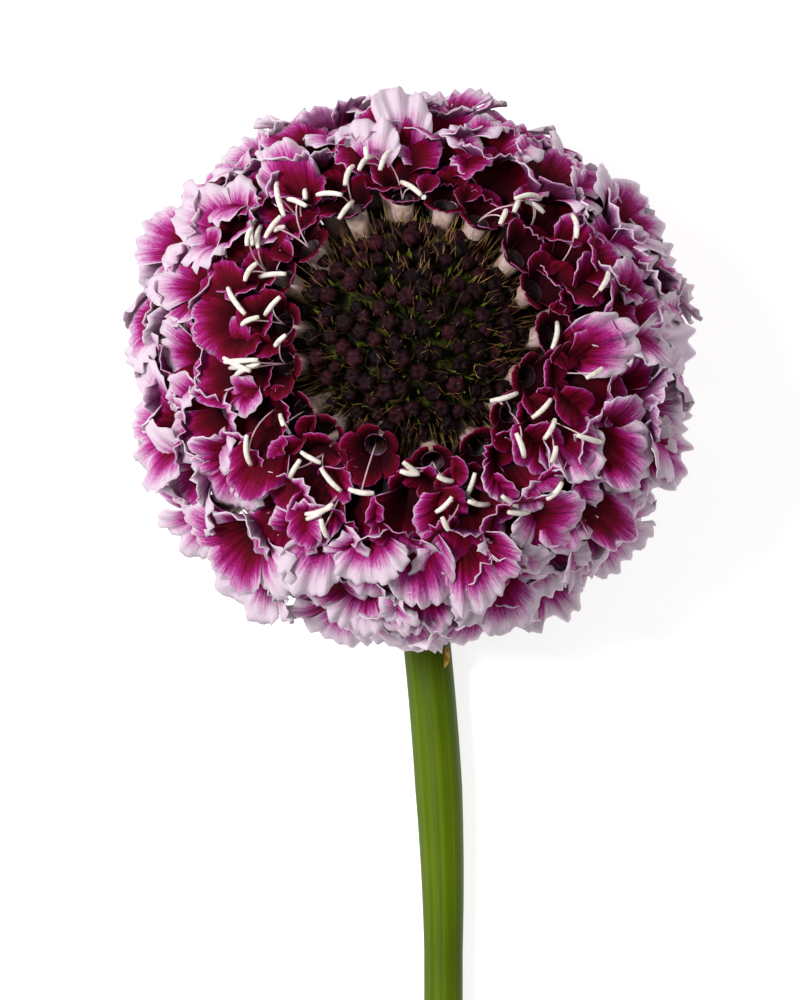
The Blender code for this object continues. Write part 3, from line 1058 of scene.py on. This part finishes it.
def stem_radius(along):
    """The radius that far down the stem: even under the head, then narrower."""
    share = min(max((along - STEM_EVEN_FOR) / STEM_NARROWS_OVER, 0.0), 1.0)
    return STEM_RADIUS_AT_HEAD + (STEM_RADIUS - STEM_RADIUS_AT_HEAD) * share


def stem_path():
    """The stem's centreline and radius, in metres, from the head's back to the cut."""
    back = Vector((0, -math.sin(LEAN), -math.cos(LEAN)))
    across = Vector((0, -math.cos(LEAN), math.sin(LEAN)))
    start = HEAD_CENTRE / MM + back * STEM_START
    turn = math.pi / 2 - LEAN
    drop = STEM_BEND_RADIUS * (1 - math.sin(LEAN))
    lead = (start.z - stem_radius(STEM_BEND_RADIUS * turn) - drop) / math.cos(LEAN)
    bend_start = start + back * lead
    out = [(start, stem_radius(0.0))]
    for step in range(BEND_STEPS + 1):
        angle = turn * step / BEND_STEPS
        point = bend_start + STEM_BEND_RADIUS * (back * math.sin(angle) + across * (1 - math.cos(angle)))
        out.append((point, stem_radius(lead + STEM_BEND_RADIUS * angle)))
    end = out[-1][0]
    for step in range(1, RUN_STEPS + 1):
        run = STEM_RUN * step / RUN_STEPS
        radius = stem_radius(lead + STEM_BEND_RADIUS * turn + run)
        sway = STEM_SWAY * math.sin(min(run / STEM_SWAY_OVER, 1.0) * math.pi / 2)
        out.append((Vector((end.x + sway, end.y - run, radius + STEM_LIFT)), radius))
    return [(point * MM, radius * MM) for point, radius in out]


STEM_PATH = stem_path()


def stem_material():
    s = Shader("stem")
    around, along, _ = s.split(s.uv("UVMap"))
    bands = s.noise(s.combine(s.times(around, 22.0), s.times(along, 1.4)), 1.0, 3.0, 0.55)
    fine = s.noise(s.combine(s.times(around, 120.0), s.times(along, 30.0)), 1.0, 2.0, 0.6)
    clouds = s.noise(s.place(), 60.0, 2.0)
    value = s.maths("ADD", s.times(bands, 0.6), s.times(clouds, 0.4))
    colour = s.ramp(value, ((0.3, "3c5000"), (0.5, "4c6200"), (0.7, "647a02")))
    colour = s.mix(s.span(fine, 0.4, 0.8, 0.0, 0.14), colour, "78880c")
    s.bump(s.maths("ADD", bands, s.times(fine, 0.35)), 0.35, 0.0003)
    return s.finish(colour, s.span(fine, 0.0, 1.0, 0.45, 0.6), 0.1)


def make_stem():
    """A grid rolled up along the stem's path, closed at the back of the head and at the slanted cut."""
    rings = len(STEM_PATH)
    stem = flat_grid(STEM_SIDES, rings - 1)
    flat = coords(stem.data)
    column = np.rint((flat[:, 0] + 0.5) * STEM_SIDES).astype(int)
    row = np.rint((flat[:, 1] + 0.5) * (rings - 1)).astype(int)
    places = np.zeros_like(flat)
    points = [point for point, _ in STEM_PATH]
    for index, (point, radius) in enumerate(STEM_PATH):
        ahead = (points[min(index + 1, rings - 1)] - points[max(index - 1, 0)]).normalized()
        side = Vector((1, 0, 0))
        side = (side - ahead * side.dot(ahead)).normalized()
        other = ahead.cross(side)
        for vert in np.where(row == index)[0]:
            angle = math.tau * column[vert] / STEM_SIDES
            ridge = 0.982 + 0.012 * math.cos(8 * angle + 0.4) + 0.006 * math.cos(13 * angle + 1.0)
            spot = point + (side * math.cos(angle) + other * math.sin(angle)) * radius * ridge
            if index > rings - CUT_RINGS:
                slant = math.tan(math.pi / 2 - STEM_CUT_SLANT)
                limit = points[-1].y + CUT_SETBACK * radius + (spot.z - radius) * slant
                spot.y = max(spot.y, limit)
            places[vert] = spot
    set_coords(stem.data, places)
    weld = stem.modifiers.new("Seam", "WELD")
    weld.merge_threshold = 0.000002
    apply_all(stem)
    bpy.ops.object.mode_set(mode="EDIT")
    bpy.ops.mesh.select_all(action="DESELECT")
    bpy.ops.mesh.select_non_manifold()
    bpy.ops.mesh.edge_face_add()
    bpy.ops.mesh.select_all(action="SELECT")
    bpy.ops.mesh.normals_make_consistent(inside=False)
    bpy.ops.object.mode_set(mode="OBJECT")
    bpy.ops.object.shade_smooth_by_angle(angle=math.radians(40))
    finish_piece(stem, "stem_skin", stem_material(), ["stem"])


def leaf_pattern():
    """A narrow folded leaf with some thickness, in millimetres."""
    made = flat_grid(8, 16)
    across, along = grid_shares(made.data)
    width = 1.5 * np.sin(math.pi * (0.16 + 0.84 * along)) ** 0.8 * (1 - along**6 * 0.5)
    fold = 0.25 * np.abs(across) * width + 0.9 * along**2
    set_coords(made.data, np.stack([across * width, fold, along * LEAF_LENGTH], 1))
    wall = made.modifiers.new("Wall", "SOLIDIFY")
    wall.thickness = 0.35
    wall.offset = 0.0
    apply_all(made)
    return made


def make_bracts():
    """The involucre: one leaf for each of the CAD model's bracts."""
    pattern = leaf_pattern()
    dice = random.Random("bracts")
    nodes = sorted(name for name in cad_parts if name.startswith("bract"))
    material = plain_material("bract")
    for number, node in enumerate(nodes):
        azimuth = math.tau * (number + 0.5) / len(nodes)
        turn = pointing(math.radians(LEAF_POLAR + dice.uniform(-3, 3)), azimuth + dice.uniform(-0.04, 0.04))
        place = turn @ lifted(LEAF_FOOT) @ turned(LEAF_LEAN, "X")
        name = f"leaf_{number + 1}"
        leaf = join_copies(name, pattern.data, [place])
        set_coords(leaf.data, keep_off(coords(leaf.data)))
        finish_piece(leaf, name, material, [node])
    bpy.data.objects.remove(pattern)


def make_withered_tip():
    """The dry golden end of an old bract, which lies on the stem just below the head."""
    points = []
    for x, y, height in WITHERED_TIP:
        ray = pixel_ray(x, y)
        points.append(world_to_head(EYE + ray * ((height * MM - EYE.z) / ray.z)))
    parts = [sweep(points, WITHERED_RADII, 8)]
    swept_piece("withered_tip", parts, plain_material("withered"))


def dress_receptacle():
    """The CAD model's own receptacle shows, with a material of its own."""
    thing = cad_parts["receptacle"]
    material = plain_material("receptacle")
    for place in thing.material_slots:
        place.material = material


# Light, floor and camera


def add_light(name, place, energy, size):
    """An area light that looks at the head."""
    data = bpy.data.lights.new(name, "AREA")
    data.energy = energy
    data.size = size
    thing = add_to_scene(name, data)
    thing.location = place
    aim = Vector((0.0, HEAD_CENTRE.y, 0.02))
    thing.rotation_euler = (aim - Vector(place)).to_track_quat("-Z", "Y").to_euler()


def make_studio():
    bpy.ops.mesh.primitive_plane_add(size=6.0)
    floor = bpy.context.object
    floor.name = "floor"
    s = Shader("floor")
    floor.data.materials.append(s.finish(s.mix(s.noise(s.place(), 3.0), "d8d8d8", "dcdcdc"), 0.9, 0.1))
    s.main.inputs["Emission Color"].default_value = (1, 1, 1, 1)
    s.main.inputs["Emission Strength"].default_value = 0.75
    world = bpy.data.worlds.new("studio")
    bpy.context.scene.world = world
    world.use_nodes = True
    back = world.node_tree.nodes["Background"]
    back.inputs["Color"].default_value = (1, 1, 1, 1)
    back.inputs["Strength"].default_value = 0.26
    add_light("key", (-0.58, 0.22, 0.88), 11.4, 0.3)
    add_light("fill", (0.6, 0.6, 0.9), 1.5, 0.8)
    camera = bpy.data.cameras.new("camera")
    camera.lens = CAMERA_LENS
    camera.sensor_width = SENSOR_WIDTH
    camera.clip_end = 20
    eye = add_to_scene("camera", camera)
    eye.location = EYE
    bpy.context.scene.camera = eye
    bpy.context.scene.view_settings.view_transform = "Standard"


def main():
    bpy.ops.object.select_all(action="DESELECT")
    dress_receptacle()
    make_stem()
    make_bracts()
    make_withered_tip()
    florets = make_florets()
    make_involucels(florets)
    make_cushion()
    make_stamens(florets)
    make_studio()


main()
